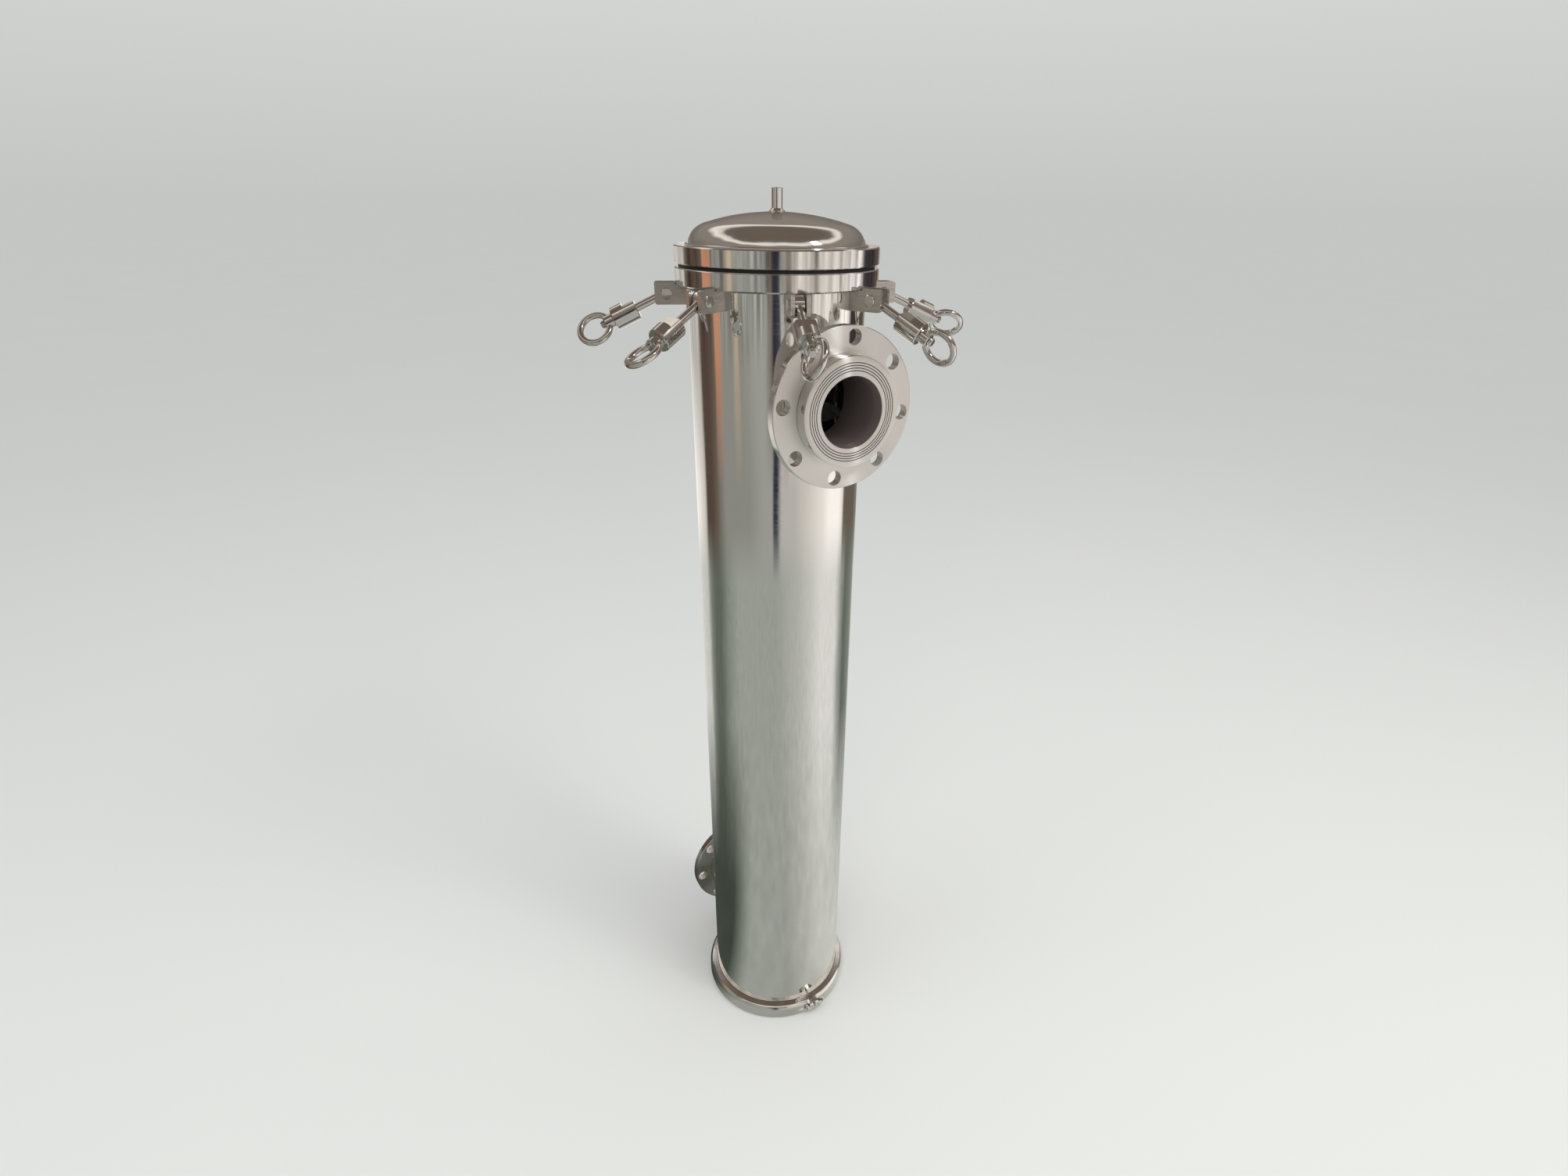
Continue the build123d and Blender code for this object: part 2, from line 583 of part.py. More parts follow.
def clamp_band():
    """The whole clamp ring before it is cut: upright below, rounded over towards the shell above."""
    low_r = CAP_FACE_R + CLAMP_SHELL_CLEAR
    high_r = SHELL_R + CLAMP_SHELL_CLEAR
    foot_in = (CLAMP_R - CLAMP_FOOT_EDGE, CLAMP_BOTTOM)
    foot_out = (CLAMP_R, CLAMP_BOTTOM + CLAMP_FOOT_EDGE)
    waist = (CLAMP_R, CLAMP_MID)
    high_shoulder = (CLAMP_SHOULDER_R, CLAMP_TOP - CLAMP_SHOULDER_DROP)
    edges = [
        Line((low_r, CLAMP_BOTTOM), foot_in),
        Line(foot_in, foot_out),
        Line(foot_out, waist),
        TangentArc(waist, high_shoulder, tangent=(0, 1)),
        Line(high_shoulder, (high_r, CLAMP_TOP)),
        Line((high_r, CLAMP_TOP), (high_r, CLAMP_MID)),
        Line((high_r, CLAMP_MID), (low_r, CLAMP_MID)),
        Line((low_r, CLAMP_MID), (low_r, CLAMP_BOTTOM)),
    ]
    return revolve(Plane.XZ * make_face(edges), Axis.Z)


def knuckle(index):
    """One hinge knuckle, counted from the bottom, as its height limits."""
    height = (CLAMP_TOP - CLAMP_BOTTOM - (KNUCKLES - 1) * KNUCKLE_GAP) / KNUCKLES
    low = CLAMP_BOTTOM + index * (height + KNUCKLE_GAP)
    return low, low + height


def clamp_half(side):
    """Half of the clamp, side 1 towards +Y; built with its bolt at +X and its hinge at -X."""
    ear = block((CLAMP_SHOULDER_R - CLAMP_EAR_MARGIN, CLAMP_BOLT_R + CLAMP_EAR_MARGIN), (0, CLAMP_EAR_END),
                (CLAMP_EAR_LOW, CLAMP_EAR_HIGH))
    outer_edges = ear.edges().filter_by(Axis.Y).sort_by(Axis.X)[-2:]
    ear = fillet(outer_edges, CLAMP_EAR_CORNER)
    half = clamp_band() + (ear if side > 0 else mirror(ear, Plane.XZ))
    nut_room = cross_bar(NUT_FLATS / math.sqrt(3) + 1, CLAMP_EAR_END, 3 * CLAMP_EAR_END)
    half -= Pos(CLAMP_BOLT_R, 0, CLAMP_BOLT_Z) * (nut_room if side > 0 else mirror(nut_room, Plane.XZ))
    half -= clamp_cavity()
    half &= block((-FAR, FAR), (0, FAR) if side > 0 else (-FAR, 0), (-FAR, FAR))
    half -= block((0, FAR), (-CLAMP_GAP / 2, CLAMP_GAP / 2), (-FAR, FAR))
    half -= block((-FAR, 0), (-HINGE_SPLIT / 2, HINGE_SPLIT / 2), (-FAR, FAR))
    bolt_room = CLAMP_BOLT_LOOSE if side > 0 else RUNNING_CLEAR
    half -= Pos(CLAMP_BOLT_R, 0, CLAMP_BOLT_Z) * cross_bar(CLAMP_BOLT_D / 2 + bolt_room, -FAR, FAR)
    held = [1] if side > 0 else [0, 2]
    for index in range(KNUCKLES):
        low, high = knuckle(index)
        room = Pos(-HINGE_R, 0, 0) * rod(KNUCKLE_OD / 2 + KNUCKLE_GAP, low - KNUCKLE_GAP, high + KNUCKLE_GAP)
        if index not in held:
            half -= room
    for index in held:
        low, high = knuckle(index)
        barrel = Pos(-HINGE_R, 0, 0) * rod(KNUCKLE_OD / 2, low, high)
        arm = block((-HINGE_R, -CLAMP_SHOULDER_R), (HINGE_SPLIT / 2, KNUCKLE_OD / 2), (low, high))
        half += barrel + (arm if side > 0 else mirror(arm, Plane.XZ)) - clamp_cavity()
    return half - Pos(-HINGE_R, 0, 0) * rod(HINGE_PIN_D / 2 + RUNNING_CLEAR, -FAR, FAR)


def save_clamp():
    place = around(CLAMP_ANGLE)
    on_bolt = place * Pos(CLAMP_BOLT_R, 0, CLAMP_BOLT_Z) * Rot(-90, 0, 0)
    washer_z = CLAMP_EAR_END
    nut_z = washer_z + WASHER_THICK
    shank = threaded(CLAMP_BOLT_D / 2, -CLAMP_EAR_END, nut_z + NUT_THICK + CLAMP_BOLT_SPARE, nut_z - CLAMP_EAR,
                     CLAMP_BOLT_PITCH, CLAMP_THREAD_DEPTH)
    head = hexagon_nut(NUT_FLATS, HEAD_THICK, 0, -CLAMP_EAR_END - HEAD_THICK)
    bore_r = CLAMP_BOLT_D / 2 + RUNNING_CLEAR
    save("clamp_half_left", place * clamp_half(-1))
    save("clamp_half_right", place * clamp_half(1))
    save("clamp_hinge_pin", place * Pos(-HINGE_R, 0, 0) * rod(HINGE_PIN_D / 2, CLAMP_BOTTOM, CLAMP_TOP))
    save("clamp_bolt", on_bolt * (shank + head))
    save("clamp_washer", on_bolt * ring(bore_r, WASHER_OD / 2, washer_z, nut_z))
    save("clamp_nut", on_bolt * hexagon_nut(NUT_FLATS, NUT_THICK, bore_r, nut_z))


# --- write every node -----------------------------------------------------------------------------------
def main():
    os.makedirs("parts", exist_ok=True)
    save("shell", shell())
    save("body_flange", body_flange())
    save_nozzle("inlet", 1, INLET_Z, INLET_PATTERN_TURN)
    save_nozzle("outlet", -1, OUTLET_Z, OUTLET_PATTERN_TURN)
    save("lid_gasket", lid_gasket())
    save("lid_flange", lid_flange())
    save("lid_dome", lid_dome())
    save("vent_nipple", vent_nipple())
    save_swing_bolts()
    save_inside()
    save("bottom_cap", bottom_cap())
    save("bottom_gasket", ring(SHELL_IN_R, FERRULE_R, GASKET_Z, FERRULE_Z))
    save("bottom_ferrule", bottom_ferrule())
    save_clamp()


main()
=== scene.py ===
# %% [markdown]
# Bag filter housing, dressed in Blender
#
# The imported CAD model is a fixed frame: every solid is already in its true place, in metres. This script gives
# each solid its real finish, replaces the plain basket and bag by detailed ones, adds the welds that hold the
# pieces together, and puts the whole thing in a small studio.

# %% Load the frame
import json
import math

import bmesh
import bpy
from mathutils import Matrix, Vector, noise


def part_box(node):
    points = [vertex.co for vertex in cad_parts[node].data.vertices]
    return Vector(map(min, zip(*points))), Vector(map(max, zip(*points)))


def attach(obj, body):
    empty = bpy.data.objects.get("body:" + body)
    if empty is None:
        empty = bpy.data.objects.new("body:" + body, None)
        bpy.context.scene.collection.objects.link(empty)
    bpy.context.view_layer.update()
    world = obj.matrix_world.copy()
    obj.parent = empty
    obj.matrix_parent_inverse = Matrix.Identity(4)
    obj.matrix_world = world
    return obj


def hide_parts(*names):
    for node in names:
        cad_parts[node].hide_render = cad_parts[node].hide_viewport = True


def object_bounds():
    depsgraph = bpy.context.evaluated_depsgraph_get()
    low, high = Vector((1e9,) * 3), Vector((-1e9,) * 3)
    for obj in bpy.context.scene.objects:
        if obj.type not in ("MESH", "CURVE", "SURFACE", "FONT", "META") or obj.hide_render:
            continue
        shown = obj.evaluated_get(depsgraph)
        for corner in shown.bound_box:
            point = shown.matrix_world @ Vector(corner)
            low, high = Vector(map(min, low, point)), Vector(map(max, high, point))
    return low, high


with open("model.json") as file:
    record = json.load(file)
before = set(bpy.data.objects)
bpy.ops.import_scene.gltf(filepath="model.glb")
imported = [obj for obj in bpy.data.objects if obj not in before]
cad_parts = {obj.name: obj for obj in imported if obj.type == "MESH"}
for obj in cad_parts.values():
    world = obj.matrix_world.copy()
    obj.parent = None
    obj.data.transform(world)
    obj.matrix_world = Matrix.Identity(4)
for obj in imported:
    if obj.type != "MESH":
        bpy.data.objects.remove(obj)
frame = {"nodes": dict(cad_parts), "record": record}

cad_low, cad_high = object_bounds()
print("CAD box", [round(v, 4) for v in cad_low], [round(v, 4) for v in cad_high])

# %% [markdown]
# Measures that several pieces share are read from the frame's boxes, so that a piece follows the CAD when a
# dimension there changes.

# %% Read the places that the new pieces need
def span(node, axis):
    """A node's lowest and highest coordinate on one axis, 0 for X, 1 for Y and 2 for Z."""
    low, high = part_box(node)
    return low[axis], high[axis]


SHELL_R = span("shell", 0)[1]
SHELL_WALL = 0.003
PIPE_WALL = 0.004
VENT_BORE = 0.0062
BODY_FLANGE_Z = span("body_flange", 2)[0]
LID_TOP = span("lid_flange", 2)[1]
INLET_Z = sum(span("inlet_collar", 2)) / 2
OUTLET_Z = sum(span("outlet_collar", 2)) / 2
PIPE_R = (span("inlet_pipe", 0)[1] - span("inlet_pipe", 0)[0]) / 2
print("shell radius", round(SHELL_R, 5), "inlet height", round(INLET_Z, 4), "pipe radius", round(PIPE_R, 5))

# %% [markdown]
# Materials are node trees. Small helpers keep them readable: one makes a Principled material with its constants
# set on its own sockets, one adds a node, and the others give noise, a change of range, a tint or a bump.

# %% Helpers for materials
def finish_of(name, colour, roughness, metallic=1.0, **sockets):
    """A Principled material; further sockets are given by name with underscores for spaces."""
    material = bpy.data.materials.new(name)
    material.use_nodes = True
    shader = material.node_tree.nodes["Principled BSDF"]
    shader.inputs["Base Color"].default_value = (*colour, 1)
    shader.inputs["Roughness"].default_value = roughness
    shader.inputs["Metallic"].default_value = metallic
    for socket, value in sockets.items():
        shader.inputs[socket.replace("_", " ")].default_value = value
    return material


def add(material, kind, inputs=(), **settings):
    """A node of this kind; inputs are (socket, value or another node's output) pairs."""
    tree = material.node_tree
    new = tree.nodes.new("ShaderNode" + kind)
    for key, value in settings.items():
        setattr(new, key, value)
    for socket, value in inputs:
        if isinstance(value, bpy.types.NodeSocket):
            tree.links.new(value, new.inputs[socket])
        else:
            new.inputs[socket].default_value = value
    return new


def feed(material, socket, output):
    shader = material.node_tree.nodes["Principled BSDF"]
    material.node_tree.links.new(output, shader.inputs[socket])


def place(material, scale=(1, 1, 1), location=(0, 0, 0)):
    """Object coordinates through a Mapping node, so a pattern can be stretched or centred."""
    coordinates = add(material, "TexCoord")
    return add(material, "Mapping", [("Vector", coordinates.outputs["Object"]), ("Scale", scale),
                                     ("Location", location)]).outputs["Vector"]


def grain(material, scale, detail=3.0, stretch=(1, 1, 1)):
    """Noise over the object's own coordinates, as a value from 0 to 1."""
    return add(material, "TexNoise", [("Vector", place(material, stretch)), ("Scale", scale),
                                      ("Detail", detail)]).outputs[0]


def remap(material, value, low, high, start=0.0, end=1.0):
    return add(material, "MapRange", [("Value", value), ("From Min", start), ("From Max", end),
                                      ("To Min", low), ("To Max", high)]).outputs[0]


def tint(material, value, first, second):
    mix = add(material, "Mix", data_type="RGBA")
    mix.inputs["A"].default_value = (*first, 1)
    mix.inputs["B"].default_value = (*second, 1)
    material.node_tree.links.new(value, mix.inputs["Factor"])
    return mix.outputs["Result"]


def bump(material, height, strength, distance):
    made = add(material, "Bump", [("Height", height), ("Strength", strength), ("Distance", distance)])
    feed(material, "Normal", made.outputs["Normal"])


def lathe(material, axis, centre, rings, depth):
    """Fine turning marks round an axis through centre, and a tangent across them for the light's streaks."""
    flat = [0.0 if i == axis else 1.0 for i in range(3)]
    arm = place(material, location=[-c for c in centre])
    across = add(material, "VectorMath", [(0, arm), (1, flat)], operation="MULTIPLY").outputs[0]
    radius = add(material, "VectorMath", [(0, across)], operation="LENGTH").outputs["Value"]
    marks = add(material, "TexNoise", [("W", radius), ("Scale", rings), ("Detail", 2.0)],
                noise_dimensions="1D").outputs[0]
    spindle = [1.0 if i == axis else 0.0 for i in range(3)]
    spoke = add(material, "VectorMath", [(0, across)], operation="NORMALIZE").outputs[0]
    turned = add(material, "VectorMath", [(0, spoke), (1, spindle)], operation="ADD").outputs[0]
    world = add(material, "VectorTransform", [("Vector", turned)], vector_type="VECTOR",
                convert_from="OBJECT", convert_to="WORLD").outputs[0]
    feed(material, "Tangent", world)
    if depth:
        bump(material, marks, 0.35, depth)
    return marks


# %% [markdown]
# Only the outside of such a housing is polished. The bores stay as the pipe mill left them: browner and duller.
# A mask by distance from the pipe's axis tells the two apart, so that one solid can carry both finishes.

# %% Helper for the bores
BORE_STEEL = (0.25, 0.20, 0.19)
BORE_SHINE = 0.5
BORE_ROUGHNESS = 0.36
BORE_SKIN = 0.0002


def radius_about(material, axis, centre=(0, 0, 0)):
    """Distance from the line through centre along one axis."""
    arm = place(material, location=[-c for c in centre])
    flat = [0.0 if i == axis else 1.0 for i in range(3)]
    across = add(material, "VectorMath", [(0, arm), (1, flat)], operation="MULTIPLY").outputs[0]
    return add(material, "VectorMath", [(0, across)], operation="LENGTH").outputs["Value"]


def blended(material, factor, first, second, kind):
    """A Mix node of this kind; either end may be a constant or another node's output."""
    mix = add(material, "Mix", data_type=kind)
    material.node_tree.links.new(factor, mix.inputs["Factor"])
    for socket, value in (("A", first), ("B", second)):
        if isinstance(value, bpy.types.NodeSocket):
            material.node_tree.links.new(value, mix.inputs[socket])
        else:
            mix.inputs[socket].default_value = value
    return mix.outputs["Result"]


def mixed(material, factor, first, second):
    return blended(material, factor, first, second, "FLOAT")


def mixed_colour(material, factor, first, second):
    return blended(material, factor, first, (*second, 1) if isinstance(second, tuple) else second, "RGBA")


# %% [markdown]
# Polished stainless steel is a mirror with faults: the buffing wheel leaves faint rings round the pipe, and
# wiping leaves long soft streaks down it. Rolled sheet is also never quite round, so straight reflections
# wander a little. All of it lives in the roughness and in shallow bumps, never in a painted light or shade.

# %% Mirror finish of the pipe body, dome and nozzle pipes
def mirror_finish(name, axis, centre, inner, sway=0.5):
    """Polished outside, dull inside the radius inner about the pipe's axis."""
    steel = finish_of(name, (0.80, 0.79, 0.77), 0.05)
    radius = radius_about(steel, axis, centre)
    bore = add(steel, "Math", [(0, radius), (1, inner)], operation="LESS_THAN").outputs[0]
    streaks = grain(steel, 9.0, 4.0, (3.0, 3.0, 0.25))
    scratches = grain(steel, 55.0, 4.0, (0.25, 0.25, 6.0))
    haze = add(steel, "Math", [(0, streaks), (1, scratches)], operation="MULTIPLY").outputs[0]
    feed(steel, "Roughness", mixed(steel, bore, remap(steel, haze, 0.025, 0.12, 0.15, 0.40), BORE_ROUGHNESS))
    polished = tint(steel, streaks, (0.79, 0.785, 0.76), (0.84, 0.83, 0.81))
    feed(steel, "Base Color", mixed_colour(steel, bore, polished, BORE_STEEL))
    feed(steel, "Metallic", mixed(steel, bore, 1.0, BORE_SHINE))
    wander = grain(steel, 7.0, 1.0, (1.0, 1.0, 0.35))
    wide = add(steel, "Bump", [("Height", wander), ("Strength", sway), ("Distance", 0.0012)])
    fine = add(steel, "Bump", [("Height", scratches), ("Strength", 0.06), ("Distance", 0.0002),
                               ("Normal", wide.outputs["Normal"])])
    feed(steel, "Normal", fine.outputs["Normal"])
    return steel


MIRROR = mirror_finish("mirror_polished_steel", 2, (0, 0, 0), SHELL_R - SHELL_WALL / 2)
DOME = mirror_finish("mirror_polished_dome_steel", 2, (0, 0, 0), 0.0, 0.12)
VENT = mirror_finish("mirror_polished_vent_steel", 2, (0, 0, 0), VENT_BORE)
INLET_PIPE = mirror_finish("mirror_polished_inlet_pipe_steel", 1, (0, 0, INLET_Z), PIPE_R - PIPE_WALL / 2)
OUTLET_PIPE = mirror_finish("mirror_polished_outlet_pipe_steel", 1, (0, 0, OUTLET_Z), PIPE_R - PIPE_WALL / 2)

# %% Turned rims of the two big flanges, and the rings at the base
TURNED = finish_of("turned_and_polished_steel", (0.78, 0.77, 0.75), 0.09, Anisotropic=0.3)
wear = grain(TURNED, 30.0, 4.0)
feed(TURNED, "Roughness", remap(TURNED, wear, 0.05, 0.14, 0.3, 0.7))
lathe(TURNED, 2, (0, 0, 0), 900.0, 0.00004)

# %% [markdown]
# The nozzle flanges are turned on a lathe and left so. The tool's marks run in circles, and a lamp shows on
# them as a fan across the face: that is what an anisotropic highlight is. The raised face also has four thin
# sealing grooves, and their colour is painted dark as the shade inside them.

# %% Lathe-turned faces of the nozzle flanges and collars
GROOVE_RADII = [0.0465 + 0.00285 * i for i in range(4)]
# Half the width of each groove's painted shade line.
GROOVE_SHADE_HALF = 0.0005
RIM_RADII = (0.0625, 0.0927)
RIM_SKIN = 0.0005


def nozzle_finish(name, height):
    steel = finish_of(name, (0.84, 0.82, 0.79), 0.36, Anisotropic=1.0)
    marks = lathe(steel, 1, (0, 0, height), 2600.0, 0.0)
    radius = radius_about(steel, 1, (0, 0, height))
    groove_shade_mask = None
    for middle in GROOVE_RADII:
        line = add(steel, "Math", [(0, radius), (1, middle), (2, GROOVE_SHADE_HALF)], operation="COMPARE").outputs[0]
        groove_shade_mask = line if groove_shade_mask is None else add(steel, "Math", [(0, groove_shade_mask), (1, line)],
                                                 operation="MAXIMUM").outputs[0]
    rims = [add(steel, "Math", [(0, radius), (1, edge), (2, RIM_SKIN)], operation="COMPARE").outputs[0]
            for edge in RIM_RADII]
    rim = add(steel, "Math", [(0, rims[0]), (1, rims[1])], operation="MAXIMUM").outputs[0]
    cloud = grain(steel, 14.0, 3.0)
    face_tone = tint(steel, cloud, (0.86, 0.845, 0.82), (0.78, 0.76, 0.735))
    # Painted shade: the four grooves are painted near black, as the shade in their narrow recesses.
    groove_shaded = mixed_colour(steel, groove_shade_mask, face_tone, (0.10, 0.09, 0.08))
    bore = add(steel, "Math", [(0, radius), (1, PIPE_R - PIPE_WALL + BORE_SKIN)], operation="LESS_THAN").outputs[0]
    feed(steel, "Base Color", mixed_colour(steel, bore, groove_shaded, BORE_STEEL))
    faces = mixed(steel, rim, remap(steel, marks, 0.28, 0.40, 0.3, 0.7), 0.08)
    feed(steel, "Roughness", mixed(steel, bore, faces, BORE_ROUGHNESS))
    feed(steel, "Metallic", mixed(steel, bore, 1.0, BORE_SHINE))
    return steel


INLET_FACE = nozzle_finish("turned_inlet_flange_steel", INLET_Z)
OUTLET_FACE = nozzle_finish("turned_outlet_flange_steel", OUTLET_Z)

# %% Ground lugs, polished small parts and the cast clamp
LUG = finish_of("ground_lug_steel", (0.66, 0.63, 0.60), 0.3)
brushed = grain(LUG, 60.0, 3.0, (1.0, 1.0, 8.0))
feed(LUG, "Roughness", remap(LUG, brushed, 0.25, 0.45, 0.3, 0.7))
feed(LUG, "Base Color", tint(LUG, brushed, (0.70, 0.67, 0.64), (0.58, 0.55, 0.52)))
bump(LUG, brushed, 0.2, 0.0003)

HARDWARE = finish_of("polished_swing_bolt_steel", (0.72, 0.70, 0.68), 0.09)
scuffs = grain(HARDWARE, 70.0, 5.0)
feed(HARDWARE, "Roughness", remap(HARDWARE, scuffs, 0.04, 0.17, 0.35, 0.7))
bump(HARDWARE, grain(HARDWARE, 90.0, 2.0), 0.12, 0.0003)

CLAMP = finish_of("cast_clamp_steel", (0.80, 0.78, 0.76), 0.1)
feed(CLAMP, "Roughness", remap(CLAMP, grain(CLAMP, 45.0, 4.0), 0.08, 0.22, 0.3, 0.7))
bump(CLAMP, grain(CLAMP, 55.0, 2.0), 0.25, 0.0006)

# %% Rubber seals
RUBBER = finish_of("black_seal_rubber", (0.012, 0.012, 0.013), 0.5, 0.0)
moulded = grain(RUBBER, 400.0, 3.0)
feed(RUBBER, "Roughness", remap(RUBBER, moulded, 0.42, 0.62))
bump(RUBBER, moulded, 0.2, 0.0001)

# %% Give every CAD node its finish
FINISHES = {"mirror_steel": MIRROR, "turned_steel": TURNED, "lug_steel": LUG, "hardware_steel": HARDWARE,
            "clamp_steel": CLAMP, "black_rubber": RUBBER, "perforated_steel": HARDWARE, "felt": RUBBER}
slot_of = {row["node"]: row["material_slot"] for row in frame["record"]["subparts"]}


def dress(node, material):
    mesh = frame["nodes"][node].data
    mesh.materials.clear()
    mesh.materials.append(material)


OWN_FINISH = {"lid_dome": DOME, "vent_nipple": VENT, "inlet_pipe": INLET_PIPE, "outlet_pipe": OUTLET_PIPE,
              "pivot_pins": HARDWARE}
for node, slot in slot_of.items():
    if node in OWN_FINISH:
        dress(node, OWN_FINISH[node])
    elif slot == "flange_steel":
        dress(node, INLET_FACE if node.startswith("inlet") else OUTLET_FACE)
    else:
        dress(node, FINISHES[slot])
print("finished nodes:", len(slot_of))

# %% [markdown]
# New pieces are made with bmesh operators. Most are turned parts, so one helper spins a profile about an axis.
# A full spin comes back to its first row of points, so those are merged, and the faces are then turned to
# point outwards.

# %% Helpers for new pieces
BODY_OF = {node: body for body, nodes in frame["record"]["behaviour"]["bodies"].items() for node in nodes}


def make(name, shape, material, body, smooth=True, corners=None):
    """Turn a finished bmesh into a piece that rides on a body; edges sharper than corners stay sharp."""
    mesh = bpy.data.meshes.new(name)
    shape.to_mesh(mesh)
    shape.free()
    mesh.materials.append(material)
    if smooth:
        mesh.shade_smooth()
    if corners:
        mesh.set_sharp_from_angle(angle=math.radians(corners))
    piece = bpy.data.objects.new(name, mesh)
    bpy.context.scene.collection.objects.link(piece)
    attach(piece, body)
    print(name, len(mesh.polygons), "faces")
    return piece


def spun(profile, steps, axis=(0, 0, 1), centre=(0, 0, 0), closed=True):
    """A bmesh turned fully round an axis from a line of points."""
    shape = bmesh.new()
    points = [shape.verts.new(p) for p in profile]
    edges = [shape.edges.new(pair) for pair in zip(points, points[1:])]
    if closed:
        edges.append(shape.edges.new((points[-1], points[0])))
    bmesh.ops.spin(shape, geom=points + edges, cent=centre, axis=axis, angle=math.tau, steps=steps,
                   use_merge=True)
    bmesh.ops.remove_doubles(shape, verts=shape.verts, dist=1e-6)
    bmesh.ops.recalc_face_normals(shape, faces=shape.faces)
    return shape


# %% [markdown]
# The collars are the faces that the eye goes to, so they are turned again here from the same measures as the
# CAD solids, with far more steps round the circle. The section is one closed line: it goes along the bore, over
# the face with its four grooves, and back along the rim.

# %% Collars with their sealing grooves
GROOVE_DEPTH = 0.0006
GROOVE_WIDTH = 0.0009
EDGE = 0.001
COLLAR_STEPS = 192


def collar(name, node, side, height, material):
    outer = (span(node, 2)[1] - span(node, 2)[0]) / 2
    low, high = span(node, 1)
    back, face = (high, low) if side < 0 else (low, high)
    inner = PIPE_R - PIPE_WALL
    inward = -side
    line = [(inner, back), (inner, face + inward * EDGE / 2), (inner + EDGE / 2, face)]
    for middle in GROOVE_RADII:
        near, far, floor = middle - GROOVE_WIDTH / 2, middle + GROOVE_WIDTH / 2, face + inward * GROOVE_DEPTH
        line += [(near, face), (near, floor), (far, floor), (far, face)]
    line += [(outer - EDGE, face), (outer - 0.3 * EDGE, face + 0.3 * inward * EDGE),
             (outer, face + inward * EDGE), (outer, back - inward * EDGE), (outer - EDGE, back)]
    rim_points = [(radius, depth, height) for radius, depth in line]
    shape = spun(rim_points, COLLAR_STEPS, (0, 1, 0), (0, 0, height))
    piece = make(name, shape, material, BODY_OF[node], corners=25)
    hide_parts(node)
    return piece


collar("inlet_collar_turned", "inlet_collar", -1, INLET_Z, INLET_FACE)
collar("outlet_collar_turned", "outlet_collar", 1, OUTLET_Z, OUTLET_FACE)

# %% [markdown]
# A TIG weld is a low rounded bead, slightly rippled where each drop of metal froze. It is a small circle of
# metal carried along the joint: a ring of points spun round the pipe, then pushed in and out a little.

# %% Weld beads round the pipes
WELD = finish_of("weld_bead_steel", (0.66, 0.64, 0.61), 0.24)
heat = grain(WELD, 120.0, 3.0)
feed(WELD, "Base Color", tint(WELD, heat, (0.70, 0.68, 0.65), (0.55, 0.51, 0.46)))
feed(WELD, "Roughness", remap(WELD, heat, 0.18, 0.34))
BEAD_SIDES = 8
RIPPLE = 0.10


def bead(name, middle, size, axis, centre, body, ripples, ripple=RIPPLE, metal=None):
    """A weld ring whose section is a circle of this size about the middle point, spun round the axis."""
    out = (Vector(middle) - Vector(centre)).project(Vector(axis))
    arm = (Vector(middle) - Vector(centre) - out).normalized()
    up = Vector(axis).normalized()
    profile = [Vector(middle) + size * (math.cos(a) * arm + math.sin(a) * up)
               for a in (math.tau * i / BEAD_SIDES for i in range(BEAD_SIDES))]
    shape = spun(profile, 4 * ripples, axis, centre)
    line = (Vector(middle) - Vector(centre) - out).length
    for vert in shape.verts:
        spoke = vert.co - Vector(centre)
        along = spoke.project(up)
        around = (spoke - along).normalized()
        heart = Vector(centre) + out + around * line
        turn = math.atan2(around.dot(up.cross(arm)), around.dot(arm))
        vert.co = heart + (vert.co - heart) * (1 + ripple * math.sin(turn * ripples))
    return make(name, shape, metal or WELD, body)


bead("weld_under_body_flange", (SHELL_R, 0, BODY_FLANGE_Z), 0.0022, (0, 0, 1), (0, 0, 0), "housing", 180)
bead("weld_dome_to_lid", (SHELL_R, 0, LID_TOP), 0.0018, (0, 0, 1), (0, 0, 0), "lid", 48, 0.01, TURNED)

# %% [markdown]
# The nozzle pipe meets the body in a saddle: the seam rises and falls as it goes round. A flat ring of points
# is pushed along the nozzle until it lies on the body's surface, which gives the seam for any two pipes.

# %% Saddle welds where the nozzles meet the body
def saddle(name, side, height, size, ripples):
    shape = spun([(PIPE_R + size * math.cos(a), size * math.sin(a), height)
                  for a in (math.tau * i / BEAD_SIDES for i in range(BEAD_SIDES))], 4 * ripples,
                 (0, 1, 0), (0, 0, height))
    for vert in shape.verts:
        around = Vector((vert.co.x, 0, vert.co.z - height))
        seam = around.normalized() * PIPE_R
        depth = math.sqrt(SHELL_R ** 2 - seam.x ** 2)
        wave = 1 + RIPPLE * math.sin(math.atan2(seam.z, seam.x) * ripples)
        offset = Vector((around.x - seam.x, vert.co.y, around.z - seam.z)) * wave
        vert.co = Vector((seam.x, side * depth, height + seam.z)) + offset
    bmesh.ops.recalc_face_normals(shape, faces=shape.faces)
    return make(name, shape, WELD, "housing")


SADDLE_BEAD = 0.003
saddle("weld_inlet_saddle", -1, INLET_Z, SADDLE_BEAD, 90)
saddle("weld_outlet_saddle", 1, OUTLET_Z, SADDLE_BEAD, 90)

# %% [markdown]
# The basket is perforated sheet. Bevelling the corners of a square grid turns every square into an octagon and
# every corner into a small diamond. Insetting the octagons and deleting their middles leaves round holes with
# flat metal between them. The grid is then rolled into a tube and given its thickness.

